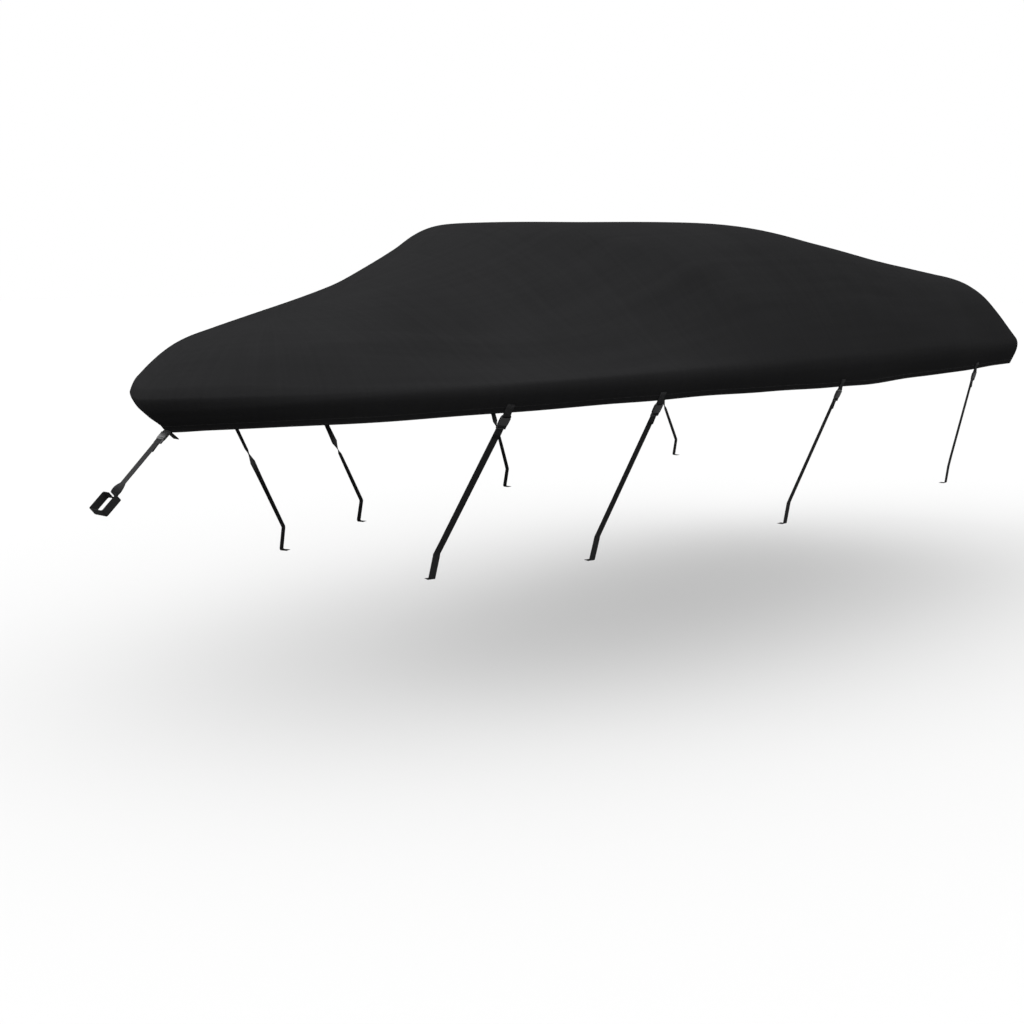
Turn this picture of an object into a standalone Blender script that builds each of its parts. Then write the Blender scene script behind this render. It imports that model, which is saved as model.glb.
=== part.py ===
"""Fitted cover for an open motor boat: one stretched cloth with a skirt, and nine webbing tie-downs.

Lengths are in metres. Points are worked out from the bow, where the outline of the crease begins: x runs
aft along the centre line, y to starboard, z up. ORIGIN then moves the whole model to its own origin, which
lies on the cloth's underside below its highest part.
"""

import math

import bmesh
import bpy
from mathutils import Matrix, Vector

# Plan of the crease that runs round the cover
LENGTH = 5.2725
BEAM = 2.30
BOW_RUN = 2.590
BOW_POWER = 2.388
BOW_FULLNESS = 1.428
STERN_TAPER = 0.036
CORNER = 0.121
CAMBER = 0.0435

# Cloth
CLOTH = 0.002
HEM = 0.0045
HEM_DEPTH = 0.025
TAB_BAND = 0.045
CREASE_SOFT = 0.006
BOW_SOFT = 0.0425
BOW_SOFT_RUN = 0.45
BOW_REACH = 0.014
BOW_REACH_RUN = 0.18
SHEER_RISE = 0.0564
SHEER_DROP = 0.015
SPINE_START = 0.55
SPINE_END = 4.70
SPINE_BLEND = 0.25
SCREEN_SWEEP = 1.15
SCREEN_START = 1.5
SCREEN_END = 4.4
SCREEN_FADE = 2.4

# Columns of faces round the cover, and rings from the crease up to the line along its middle
COLUMNS = 88
TURN_WEIGHT = 0.9
RINGS = (0.985, 0.955, 0.91, 0.85, 0.78, 0.70, 0.62, 0.52, 0.40, 0.27, 0.13, 0.0)
HALF_OUTLINE_STEPS = 500

# x, height of the cloth on the centre line
ROOF = (
    (0.00, 0.055),
    (0.25, 0.189),
    (0.50, 0.229),
    (0.80, 0.300),
    (1.05, 0.377),
    (1.30, 0.473),
    (1.50, 0.549),
    (1.75, 0.638),
    (2.30, 0.652),
    (3.00, 0.665),
    (3.60, 0.604),
    (4.20, 0.514),
    (4.50, 0.469),
    (4.80, 0.424),
    (5.05, 0.393),
    (5.25, 0.220),
)

# x, fullness of the section there: 1 is a straight slope, larger numbers bulge more
FULLNESS = (
    (0.0, 3.75),
    (0.5, 4.22),
    (1.2, 2.0),
    (2.0, 3.25),
    (3.0, 3.77),
    (3.7, 4.18),
    (4.2, 5.1),
    (4.6, 6.67),
    (5.0, 8.12),
    (5.4, 1.8),
)

# x, depth of the skirt below the crease
SKIRT = (
    (0.00, 0.1355),
    (0.10, 0.126),
    (0.30, 0.1216),
    (0.60, 0.116),
    (1.00, 0.112),
    (1.40, 0.110),
    (1.70, 0.116),
    (2.43, 0.133),
    (3.07, 0.154),
    (3.36, 0.160),
    (4.05, 0.154),
    (4.60, 0.150),
    (5.25, 0.139),
)
SKIRT_TUCK = 0.0282
BOW_TUCK = 0.1234
BOW_TUCK_RUN = 0.40
SKIRT_BULGE = 0.0097

# Folds as arcs in plan, each end and bend given by x and the share of the way out to the crease:
# side (-1 port, 1 starboard), start, bend, end, depth (minus is a ridge), width
FOLDS = (
    (-1, (2.50, 0.70), (1.97, 0.815), (1.40, 0.65), -0.009, 0.075),
    (-1, (2.13, 0.63), (1.70, 0.60), (1.25, 0.42), -0.007, 0.070),
    (-1, (2.76, 0.75), (3.60, 0.84), (5.05, 0.95), 0.011, 0.085),
    (-1, (0.28, 0.62), (0.95, 0.75), (1.70, 0.79), -0.007, 0.065),
    (1, (2.42, 0.69), (1.95, 0.80), (1.45, 0.64), -0.009, 0.078),
    (1, (2.20, 0.60), (1.72, 0.58), (1.30, 0.40), -0.006, 0.070),
    (1, (2.85, 0.77), (3.70, 0.86), (5.00, 0.93), 0.010, 0.085),
    (1, (0.32, 0.64), (0.98, 0.76), (1.75, 0.80), -0.007, 0.065),
)

# Slack in the skirt: waves round the cover, phase, movement up and down, movement in and out
SKIRT_WAVES = (
    (9, 0.8, 0.0015, 0.0020),
    (14, 2.1, 0.0010, 0.0012),
    (23, 4.4, 0.0008, 0.0005),
)

# Webbing and its path
WEBBING = 0.032
WEB_THICK = 0.0014
SEWN_GAP = 0.0004
TAB_HALF = 0.0185
TAB_UP = 0.038
BAR_OUT = 0.0039
BAR_DOWN = 0.012
BAR = 0.0028
TURN = 0.0030
LADDER = 0.0474
TAIL = 0.052

# Ties of one side: name, x of the crease above, bend at the top of the frame's face, its foot, turn in plan
TIES = (
    ("1", 1.015, (1.045, 0.461, -0.664), (1.025, 0.454, -0.762), 20.0),
    ("2", 1.695, (1.747, 0.717, -0.664), (1.722, 0.711, -0.762), 14.0),
    ("3", 3.060, (3.024, 0.891, -0.664), (3.001, 0.889, -0.762), 5.0),
    ("4", 4.640, (4.750, 0.930, -0.664), (4.727, 0.929, -0.762), 1.5),
)
FOOT_TURN = 0.006
FOOT_UNDER = 0.034

# Bow tie: where it meets the band, how the band lies, and the square that the band goes round
BOW_BAND = (-0.103, 0.0, -0.337)
BAND_PITCH = 40.5
BAND_SIDE = 0.076
BAND_CLEAR = 0.0015
BAND_CORNER = 0.006
TWIST = 0.062

ORIGIN = Vector((3.00, 0.0, 0.6625))


def smooth(rows, x):
    """Value at x of a curve through the rows that never overshoots them."""
    x = min(max(x, rows[0][0]), rows[-1][0])
    steps = [b[0] - a[0] for a, b in zip(rows, rows[1:])]
    rises = [(b[1] - a[1]) / (b[0] - a[0]) for a, b in zip(rows, rows[1:])]
    i = 0
    while i < len(steps) - 1 and x > rows[i + 1][0]:
        i += 1

    def slope(k):
        if k in (0, len(rows) - 1):
            near, far = (0, 1) if k == 0 else (-1, -2)
            end = ((2 * steps[near] + steps[far]) * rises[near] - steps[near] * rises[far]) / (
                steps[near] + steps[far]
            )
            if end * rises[near] <= 0:
                return 0.0
            if rises[near] * rises[far] < 0 and abs(end) > 3 * abs(rises[near]):
                return 3 * rises[near]
            return end
        if rises[k - 1] * rises[k] <= 0:
            return 0.0
        before = 2 * steps[k] + steps[k - 1]
        after = steps[k] + 2 * steps[k - 1]
        return (before + after) / (before / rises[k - 1] + after / rises[k])

    t = (x - rows[i][0]) / steps[i]
    h00 = (1 + 2 * t) * (1 - t) ** 2
    h10 = t * (1 - t) ** 2
    h01 = t * t * (3 - 2 * t)
    h11 = t * t * (t - 1)
    return (
        h00 * rows[i][1]
        + h10 * steps[i] * slope(i)
        + h01 * rows[i + 1][1]
        + h11 * steps[i] * slope(i + 1)
    )


def clamp(value, low=0.0, high=1.0):
    return min(max(value, low), high)


def half_breadth(x):
    fore = clamp(x / BOW_RUN)
    aft = clamp((x - BOW_RUN) / (LENGTH - BOW_RUN))
    breadth = BEAM / 2 * (1 - (1 - fore) ** BOW_POWER) ** (1 / BOW_FULLNESS)
    return breadth * (1 - STERN_TAPER * aft**2)


def sheer(x):
    fore = clamp(x / BOW_RUN)
    aft = clamp((x - BOW_RUN) / BOW_RUN)
    return SHEER_RISE * (1 - (1 - fore) ** 2) - SHEER_DROP * aft**2


def half_outline():
    """The port half of the crease in plan, from the tip of the bow to the middle of the stern."""
    straight = LENGTH - CORNER
    breadth = half_breadth(straight)
    points = []
    for i in range(HALF_OUTLINE_STEPS + 1):
        x = straight * (i / HALF_OUTLINE_STEPS) ** 2.2
        points.append((x, half_breadth(x)))
    for i in range(1, 31):
        angle = math.pi / 2 * i / 30
        points.append((straight + CORNER * math.sin(angle), breadth - CORNER + CORNER * math.cos(angle)))
    for i in range(1, 31):
        share = 1 - i / 30
        points.append((LENGTH + CAMBER * (1 - share**2), (breadth - CORNER) * share))
    return points


class Outline:
    """The crease in plan as a closed line, walked by its length from the tip of the bow down the port side."""

    def __init__(self):
        self.points = half_outline()
        self.along = [0.0]
        for a, b in zip(self.points, self.points[1:]):
            self.along.append(self.along[-1] + math.dist(a, b))
        self.half = self.along[-1]
        self.whole = 2 * self.half

    def point(self, s):
        s %= self.whole
        side = -1 if s <= self.half else 1
        s = s if side < 0 else self.whole - s
        low, high = 0, len(self.along) - 1
        while high - low > 1:
            middle = (low + high) // 2
            low, high = (middle, high) if self.along[middle] <= s else (low, middle)
        t = (s - self.along[low]) / (self.along[high] - self.along[low])
        (xa, ya), (xb, yb) = self.points[low], self.points[high]
        return Vector((xa + t * (xb - xa), side * (ya + t * (yb - ya)), 0.0))

    def inward(self, s):
        along = self.point(s + 0.004) - self.point(s - 0.004)
        return Vector((-along.y, along.x, 0.0)).normalized()

    def station(self, x):
        """Length along the port side at which the crease reaches x."""
        low, high = 0.0, self.half
        while high - low > 1e-6:
            middle = (low + high) / 2
            low, high = (middle, high) if self.point(middle).x < x else (low, middle)
        return low


OUTLINE = Outline()


def arc_point(fold, t):
    """A point of a fold in plan, in metres."""
    (xa, oa), (xb, ob), (xc, oc) = fold[1:4]
    a = Vector((xa, oa * half_breadth(xa)))
    b = Vector((xb, ob * half_breadth(xb)))
    c = Vector((xc, oc * half_breadth(xc)))
    return a * (1 - t) ** 2 + b * 2 * t * (1 - t) + c * t**2


def fold_depth(x, y):
    """How far the folds lower the cloth at x, y."""
    depth = 0.0
    for fold in FOLDS:
        if fold[0] * y <= 0:
            continue
        here = Vector((x, abs(y)))
        steps = [i / 24 for i in range(25)]
        t = min(steps, key=lambda share: (arc_point(fold, share) - here).length)
        distance = (arc_point(fold, t) - here).length
        ends = math.sin(math.pi * clamp(t, 0.06, 0.94)) ** 0.6
        depth += fold[4] * ends * math.exp(-((distance / fold[5]) ** 2))
    return depth


def spine(edge):
    """The point of the line along the middle that the cloth runs up to from a point of the crease."""
    x = SPINE_START + SPINE_BLEND * math.log1p(math.exp((edge.x - SPINE_START) / SPINE_BLEND))
    x = SPINE_END - SPINE_BLEND * math.log1p(math.exp((SPINE_END - x) / SPINE_BLEND))
    return Vector((x, 0.0, 0.0))


def top_panel(edge, out):
    """A point of the top: out is 1 on the crease and 0 on the line along the middle."""
    ridge = spine(edge)
    x = ridge.x + (edge.x - ridge.x) * out
    y = edge.y * out
    reach = abs(y) / max(half_breadth(clamp(x, 0.02, LENGTH)), 0.3)
    swept = x - SCREEN_SWEEP * reach**2 * clamp(x / SCREEN_START) * clamp((SCREEN_END - x) / SCREEN_FADE)
    low = sheer(edge.x)
    return Vector((x, y, low + (smooth(ROOF, swept) - low) * (1 - out ** smooth(FULLNESS, edge.x))))


def skirt_depth(s):
    waves = sum(up * math.sin(2 * math.pi * n * s / OUTLINE.whole + at) for n, at, up, _ in SKIRT_WAVES)
    return smooth(SKIRT, OUTLINE.point(s).x) + waves


def skirt_panel(s, edge, inward, depth, below):
    """A point of the skirt, a given distance below the crease."""
    share = below / depth
    bow = math.exp(-((edge.x / BOW_TUCK_RUN) ** 1.2))
    tuck = SKIRT_TUCK * share**2 - SKIRT_BULGE * (1 - bow) * 6.75 * share * (1 - share) ** 2
    eased = share**0.9
    tuck += BOW_TUCK * bow * eased**2 * (3 - 2 * eased)
    tuck += share * sum(
        move * math.sin(2 * math.pi * n * s / OUTLINE.whole + 2 * at) for n, at, _, move in SKIRT_WAVES
    )
    return edge + inward * tuck + Vector((0, 0, sheer(edge.x) - below))


def cloth_point(s, up):
    """A point of the cloth up metres in from the crease on the top, or down the skirt where up is negative.

    The two panels meet softly: each point is a weighted mean of five along its own line. Round the bow that
    pulls the cloth in, and BOW_REACH brings it forward again.
    """
    edge = OUTLINE.point(s)
    inward = (spine(edge) - edge).normalized()
    depth = skirt_depth(s)
    span = (edge - spine(edge)).length
    soft = CREASE_SOFT + BOW_SOFT * math.exp(-((edge.x / BOW_SOFT_RUN) ** 2))
    soft = min(soft, depth + up if up < 0 else span - up)
    point = Vector()
    for k, weight in enumerate((1, 4, 6, 4, 1)):
        here = up + (k - 2) * soft
        if here > 0:
            point += top_panel(edge, clamp(1 - here / span)) * weight / 16
        else:
            point += skirt_panel(s, edge, inward, depth, min(-here, depth)) * weight / 16
    point.x -= BOW_REACH * math.exp(-((max(point.x, 0.0) / BOW_REACH_RUN) ** 2))
    out = 1 - up / span
    if up > 0:
        point.z -= fold_depth(point.x, point.y) * clamp(out / 0.2) * clamp((1 - out) / 0.04)
    return point


def top_point(s, out):
    edge = OUTLINE.point(s)
    return cloth_point(s, (1 - out) * (edge - spine(edge)).length)


def skirt_point(s, below):
    return cloth_point(s, -below)


def tie_stations():
    """Length along the crease of each tie, bow first, then the port and the starboard ones."""
    stations = {"bow": 0.0}
    for name, x, *_ in TIES:
        stations["port_" + name] = OUTLINE.station(x)
        stations["starboard_" + name] = OUTLINE.whole - OUTLINE.station(x)
    return stations


def columns():
    """Lengths along the crease at which the cloth has a column: closer together where the crease turns."""
    fine = 1600
    weights = [0.0]
    for i in range(fine):
        a = OUTLINE.inward(OUTLINE.whole * i / fine)
        b = OUTLINE.inward(OUTLINE.whole * (i + 1) / fine)
        weights.append(weights[-1] + OUTLINE.whole / fine + TURN_WEIGHT * a.angle(b))
    even = []
    j = 0
    for k in range(COLUMNS):
        wanted = weights[-1] * k / COLUMNS
        while weights[j + 1] < wanted:
            j += 1
        share = (wanted - weights[j]) / (weights[j + 1] - weights[j])
        even.append(OUTLINE.whole * (j + share) / fine)
    ties = sorted(
        (at + step) % OUTLINE.whole for at in tie_stations().values() for step in (-TAB_HALF, TAB_HALF)
    )

    def away(s):
        return min(abs((s - t + OUTLINE.half) % OUTLINE.whole - OUTLINE.half) for t in ties)

    return sorted([s for s in even if away(s) > 0.024] + ties)


def material(name, color, roughness):
    made = bpy.data.materials.new(name)
    made.use_nodes = True
    shader = made.node_tree.nodes["Principled BSDF"]
    shader.inputs["Base Color"].default_value = (*color, 1.0)
    shader.inputs["Roughness"].default_value = roughness
    return made


def add_object(name, mesh, paint):
    mesh.materials.clear()
    mesh.materials.append(paint)
    for face in mesh.polygons:
        face.use_smooth = True
    made = bpy.data.objects.new(name, mesh)
    COLLECTION.objects.link(made)
    made.parent = ROOT
    return made


def build_cloth(paint):
    """The cover: rings of points from the hem up to the crease and on to the middle, made 2 mm thick."""
    stops = columns()
    rings = []
    for up in (0.0, HEM_DEPTH, TAB_BAND):
        rings.append([skirt_point(s, skirt_depth(s) - up) for s in stops])
    for share in (0.52, 0.17):
        rings.append([skirt_point(s, (skirt_depth(s) - TAB_BAND) * share) for s in stops])
    rings.append([cloth_point(s, 0.0) for s in stops])
    rings += [[top_point(s, out) for s in stops] for out in RINGS]
    bm = bmesh.new()
    grid = [[bm.verts.new(p) for p in ring] for ring in rings]
    for lower, upper in zip(grid, grid[1:]):
        for i in range(len(stops)):
            j = (i + 1) % len(stops)
            bm.faces.new((lower[j], lower[i], upper[i], upper[j]))
    bmesh.ops.remove_doubles(bm, verts=grid[-1], dist=0.0001)
    bmesh.ops.dissolve_degenerate(bm, edges=bm.edges, dist=0.00001)
    bmesh.ops.recalc_face_normals(bm, faces=bm.faces)
    if sum(face.normal.z * face.calc_area() for face in bm.faces) < 0:
        bmesh.ops.reverse_faces(bm, faces=bm.faces)
    mesh = bpy.data.meshes.new("cover_cloth")
    bm.to_mesh(mesh)
    bm.free()
    cloth = add_object("cover_cloth", mesh, paint)
    thick = cloth.vertex_groups.new(name="hem")
    thick.add(list(range(2 * len(stops))), 1.0, "REPLACE")
    shell = cloth.modifiers.new("thickness", "SOLIDIFY")
    shell.thickness = HEM
    shell.offset = -1
    shell.use_even_offset = True
    shell.vertex_group = "hem"
    shell.thickness_vertex_group = CLOTH / HEM
    return cloth


def build_ribbon(name, points, across, paint):
    """Webbing along the points. Its width lies along the across vectors, squared to its run."""
    bm = bmesh.new()
    last = None
    for i, point in enumerate(points):
        before = points[max(i - 1, 0)]
        after = points[min(i + 1, len(points) - 1)]
        run = ((point - before).normalized() + (after - point).normalized()).normalized()
        side = (across[i] - run * across[i].dot(run)).normalized() * (WEBBING / 2)
        pair = (bm.verts.new(point - side), bm.verts.new(point + side))
        if last:
            bm.faces.new((last[0], last[1], pair[1], pair[0]))
        last = pair
    mesh = bpy.data.meshes.new(name)
    bm.to_mesh(mesh)
    bm.free()
    made = add_object(name, mesh, paint)
    shell = made.modifiers.new("thickness", "SOLIDIFY")
    shell.thickness = WEB_THICK
    shell.offset = 0
    shell.use_even_offset = True
    return made


def box(name, low, high, collection):
    """A block between two corners."""
    bm = bmesh.new()
    bmesh.ops.create_cube(bm, size=1.0)
    size = Vector(high) - Vector(low)
    centre = (Vector(high) + Vector(low)) / 2
    bmesh.ops.transform(bm, matrix=Matrix.Translation(centre) @ Matrix.Diagonal((*size, 1)), verts=bm.verts)
    mesh = bpy.data.meshes.new(name)
    bm.to_mesh(mesh)
    bm.free()
    made = bpy.data.objects.new(name, mesh)
    collection.objects.link(made)
    made.hide_render = True
    made.display_type = "WIRE"
    return made


def combine(name, base, steps):
    """One mesh: the base block with other blocks joined to it or cut from it, in turn."""
    body = box(name + "_base", *base, TOOLS)
    for i, (operation, low, high) in enumerate(steps):
        step = body.modifiers.new(f"step_{i}", "BOOLEAN")
        step.operation = operation
        step.solver = "EXACT"
        step.object = box(f"{name}_{operation.lower()}_{i}", low, high, TOOLS)
    bpy.context.view_layer.update()
    made = bpy.data.meshes.new_from_object(body.evaluated_get(bpy.context.evaluated_depsgraph_get()))
    made.name = name
    body.modifiers.clear()
    return made


def socket_mesh():
    """Buckle socket hung by its bar at the origin, mouth down. Its sides are open where the prongs show."""
    return combine(
        "buckle_socket",
        ((-0.0200, -0.005, -0.034), (0.0200, 0.005, -0.007)),
        (
            ("UNION", (-0.0200, -0.0023, -0.0075), (-0.0168, 0.0023, BAR / 2)),
            ("UNION", (0.0168, -0.0023, -0.0075), (0.0200, 0.0023, BAR / 2)),
            ("UNION", (-0.0175, -BAR / 2, -BAR / 2), (0.0175, BAR / 2, BAR / 2 - 0.0001)),
            ("DIFFERENCE", (-0.0167, -0.0032, -0.036), (0.0167, 0.0032, -0.0105)),
            ("DIFFERENCE", (-0.0215, -0.0031, -0.0235), (0.0215, 0.0031, -0.0130)),
        ),
    )


def plug_mesh():
    """Buckle plug in the socket's frame: two prongs and a guide above, a ladder lock with two bars below."""
    return combine(
        "buckle_plug",
        ((-0.0198, -0.0045, -0.0412), (0.0198, 0.0045, -0.0344)),
        (
            ("UNION", (0.0168, -0.0025, -0.0580), (0.0198, 0.0034, -0.0405)),
            ("UNION", (-0.0198, -0.0025, -0.0580), (-0.0168, 0.0034, -0.0405)),
            ("UNION", (-0.0175, -BAR / 2, -LADDER - BAR / 2), (0.0175, BAR / 2, -LADDER + BAR / 2)),
            ("UNION", (-0.0175, 0.0005, -0.0579), (0.0175, 0.0033, -0.0545)),
            ("UNION", (0.0130, -0.0026, -0.0350), (0.0163, 0.0026, -0.0145)),
            ("UNION", (-0.0163, -0.0026, -0.0350), (-0.0130, 0.0026, -0.0145)),
            ("UNION", (0.0155, -0.0025, -0.0222), (0.0191, 0.0025, -0.0146)),
            ("UNION", (-0.0191, -0.0025, -0.0222), (-0.0155, 0.0025, -0.0146)),
            ("UNION", (-0.0025, -0.0020, -0.0350), (0.0025, 0.0020, -0.0160)),
        ),
    )


def tie_frame(s):
    """Hem point of a tie with the directions along the hem, down the skirt and out of it."""
    low = [skirt_point(s + step, skirt_depth(s + step)) for step in (-TAB_HALF, TAB_HALF)]
    high = [skirt_point(s + step, skirt_depth(s + step) - TAB_BAND) for step in (-TAB_HALF, TAB_HALF)]
    hem = (low[0] + low[1]) / 2
    along = (low[1] - low[0]).normalized()
    down = (hem - (high[0] + high[1]) / 2).normalized()
    out = down.cross(along).normalized()
    return hem, out


def turn(centre, angles, radius=TURN):
    """Points in a plane, round a centre, at angles in degrees."""
    return [
        (centre[0] + radius * math.cos(math.radians(a)), centre[1] + radius * math.sin(math.radians(a)))
        for a in angles
    ]


def tab_profile():
    """Side view of a tab, as (down from the hem, out of the skirt): front layer, bar, back layer."""
    back = SEWN_GAP + WEB_THICK / 2
    front = back + WEB_THICK + SEWN_GAP
    bar = (BAR_DOWN, BAR_OUT)
    return (
        [(-TAB_UP, front), (-0.020, front), (-0.004, front + 0.0004)]
        + turn(bar, (78, 52, 26, 0, -26, -52, -78))
        + [(-0.002, back), (-0.020, back), (-TAB_UP, back)]
    )


def lock_profile():
    """Side view of a strap at the ladder lock, as (down from the socket's bar, out): tail up, bar, run down."""
    return [
        (LADDER + TAIL, 0.0016),
        (LADDER + 0.034, 0.0002),
        (LADDER + 0.020, -0.0007),
        (LADDER + 0.0078, -0.0009),
    ] + turn((LADDER, 0.0), (59, 88, 119, 150, 180, 210, 240, 270))


def build_tie(name, s, bend, rest, paints):
    """One tie-down: its tab, the two halves of its buckle and its strap, which ends in rest."""
    hem, out = tie_frame(s)
    pull = (bend - hem).normalized()
    across = out.cross(pull).normalized()
    down = across.cross(out).normalized()
    tab = [hem + down * d + out * o for d, o in tab_profile()]
    build_ribbon("tab_" + name, tab, [across] * len(tab), paints["webbing"])
    bar = hem + down * BAR_DOWN + out * BAR_OUT
    pull = (bend - bar).normalized()
    lift = (out - pull * out.dot(pull)).normalized()
    axes = Matrix((lift.cross(-pull), lift, -pull)).transposed().to_4x4()
    for half in ("socket", "plug"):
        made = add_object(f"buckle_{half}_{name}", BUCKLES[half], paints["buckle"])
        made.matrix_local = Matrix.Translation(bar) @ axes
    path = [bar + pull * d + lift * o for d, o in lock_profile()]
    sides = [across] * len(path)
    start = path[-1]
    for share in (0.25, 0.5, 0.75):
        path.append(start.lerp(bend, share))
        sides.append(across.lerp(rest[0][1], share).normalized())
    for point, side in rest:
        path.append(point)
        sides.append(side)
    build_ribbon("strap_" + name, path, sides, paints["webbing"])


def frame_end(side, bend, foot, degrees):
    """A side tie's end: bent at the top of the frame's face, down it, and in under it."""
    along = Vector((math.cos(math.radians(degrees)), side * math.sin(math.radians(degrees)), 0.0))
    inward = Vector((math.sin(math.radians(degrees)), -side * math.cos(math.radians(degrees)), 0.0))
    top = Vector((bend[0], side * bend[1], bend[2]))
    low = Vector((foot[0], side * foot[1], foot[2]))
    points = [
        top - inward * 0.0014 + Vector((0, 0, 0.0025)),
        top - Vector((0, 0, 0.004)),
        low + Vector((0, 0, FOOT_TURN)),
        low + inward * 0.0018 + Vector((0, 0, 0.0018)),
        low + inward * FOOT_TURN,
        low + inward * FOOT_UNDER,
    ]
    return top, [(point, along) for point in points]


def bow_end():
    """The bow tie's end: a quarter twist, then once round a square and back to the run."""
    pitch = math.radians(BAND_PITCH)
    ahead = Vector((-math.cos(pitch), 0.0, -math.sin(pitch)))
    port = Vector((0.0, -1.0, 0.0))
    width = Vector((-math.sin(pitch), 0.0, math.cos(pitch)))
    face = Vector(BOW_BAND)
    reach = BAND_SIDE / 2 + BAND_CLEAR
    near = -BAND_CLEAR
    far = BAND_SIDE + BAND_CLEAR
    rows = []
    for i in range(6):
        share = i / 6
        quarter = math.pi / 2 * share
        point = face - ahead * (TWIST * (1 - share) + 0.008 * share)
        rows.append((point, Vector((0, 1, 0)) * math.cos(quarter) + width * math.sin(quarter)))
    rows.append((face + ahead * (near - 0.004) + port * 0.002, width))
    rows.append((face + ahead * (near - 0.001) + port * 0.010, width))
    corners = (
        (near, reach, 180, 90),
        (far, reach, 90, 0),
        (far, -reach, 0, -90),
        (near, -reach, -90, -180),
    )
    for a, p, start, end in corners:
        inset_a = BAND_CORNER if a == near else -BAND_CORNER
        inset_p = -BAND_CORNER if p > 0 else BAND_CORNER
        for angle in (start, (2 * start + end) / 3, (start + 2 * end) / 3, end):
            turned = math.radians(angle)
            rows.append(
                (
                    face
                    + ahead * (a + inset_a + BAND_CORNER * math.cos(turned))
                    + port * (p + inset_p + BAND_CORNER * math.sin(turned)),
                    width,
                )
            )
    rows.append((face + ahead * near - port * 0.004, width))
    return rows[0][0], rows


for old in list(bpy.data.objects):
    bpy.data.objects.remove(old)

COLLECTION = bpy.data.collections.new("boat_cover")
TOOLS = bpy.data.collections.new("blocks")
for group in (COLLECTION, TOOLS):
    bpy.context.scene.collection.children.link(group)
ROOT = bpy.data.objects.new("boat_cover", None)
COLLECTION.objects.link(ROOT)
ROOT.location = -ORIGIN

PAINTS = {
    "cloth": material("cover_polyester", (0.022, 0.022, 0.023), 0.72),
    "webbing": material("tie_webbing", (0.016, 0.016, 0.017), 0.78),
    "buckle": material("buckle_plastic", (0.014, 0.014, 0.015), 0.42),
}
BUCKLES = {"socket": socket_mesh(), "plug": plug_mesh()}

build_cloth(PAINTS["cloth"])
for tie, station in tie_stations().items():
    if tie == "bow":
        top_of_end, end_rows = bow_end()
    else:
        port_or_not = -1 if tie.startswith("port") else 1
        row = next(row for row in TIES if tie.endswith(row[0]))
        top_of_end, end_rows = frame_end(port_or_not, *row[2:])
    build_tie(tie, station, top_of_end, end_rows, PAINTS)
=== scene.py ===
# %% [markdown]
# # A fitted boat cover
# A fitted cover is one large cloth that lies taut over a raised middle and tucks in under its rim. Webbing
# ties with quick-release buckles pull its hem down. This file dresses the imported solids of such a cover. It
# loads them as a fixed frame, builds a finer cloth, webbing and buckles in the same places, sews them with
# thread, and lights the result like a picture in a catalogue.
#
# The solids say where everything is and how big it is. They are loaded first and never changed.

# %% Load the imported solids
import math

import bmesh
import bpy
import numpy as np
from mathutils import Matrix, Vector


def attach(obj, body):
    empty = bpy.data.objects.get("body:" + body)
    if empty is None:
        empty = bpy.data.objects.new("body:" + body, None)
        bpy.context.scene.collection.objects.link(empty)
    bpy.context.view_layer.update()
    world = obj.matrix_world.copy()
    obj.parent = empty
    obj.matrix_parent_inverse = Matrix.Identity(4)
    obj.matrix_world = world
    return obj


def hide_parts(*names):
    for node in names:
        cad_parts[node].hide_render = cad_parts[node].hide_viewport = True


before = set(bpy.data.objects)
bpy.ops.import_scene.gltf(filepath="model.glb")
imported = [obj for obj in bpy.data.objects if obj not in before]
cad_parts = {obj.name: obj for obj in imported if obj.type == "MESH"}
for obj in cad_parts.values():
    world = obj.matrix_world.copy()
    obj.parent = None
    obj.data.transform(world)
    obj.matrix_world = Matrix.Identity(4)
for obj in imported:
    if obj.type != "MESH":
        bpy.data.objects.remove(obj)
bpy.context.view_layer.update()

# %% [markdown]
# ## Camera
# The picture was taken from in front of the port bow, at eye height. Camera place, aim and lens come first,
# so that every piece after it can be compared with the picture at once. Its heading is measured from the
# cover's long axis, and it looks down a little. Only the lens decides how much is seen, so no shift is
# needed.

# %% Camera
CAMERA_AT = Vector((-5.8485, -4.2151, -0.2069))
CAMERA_HEADING, CAMERA_DOWN = math.radians(40.81), math.radians(9.97)
LENS, SENSOR = 49.33, 36.0
GROUND = -1.9265

aim = Vector((
    math.cos(CAMERA_HEADING) * math.cos(CAMERA_DOWN),
    math.sin(CAMERA_HEADING) * math.cos(CAMERA_DOWN),
    -math.sin(CAMERA_DOWN),
))
camera_data = bpy.data.cameras.new("camera")
camera_data.lens, camera_data.sensor_width = LENS, SENSOR
camera_data.clip_start, camera_data.clip_end = 0.05, 200.0
camera = bpy.data.objects.new("camera", camera_data)
camera.location = CAMERA_AT
camera.rotation_euler = aim.to_track_quat("-Z", "Y").to_euler()
bpy.context.scene.collection.objects.link(camera)
bpy.context.scene.camera = camera
print("camera height above the floor:", round(CAMERA_AT.z - GROUND, 2))

# %% [markdown]
# ## Curves that never overshoot
# A pattern cutter draws a fitted cover from a few curves. Here each is a short row of numbers with a smooth
# curve through it. An ordinary spline swings past its points, and in taut cloth that would show as a
# ripple. This curve keeps the slope between two rows no steeper than they allow, and level at a peak, so it
# never passes beyond its own rows.

# %% A smooth curve through rows
def unit(v):
    """Vectors of length 1."""
    return v / np.maximum(np.linalg.norm(v, axis=-1, keepdims=True), 1e-12)


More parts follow.
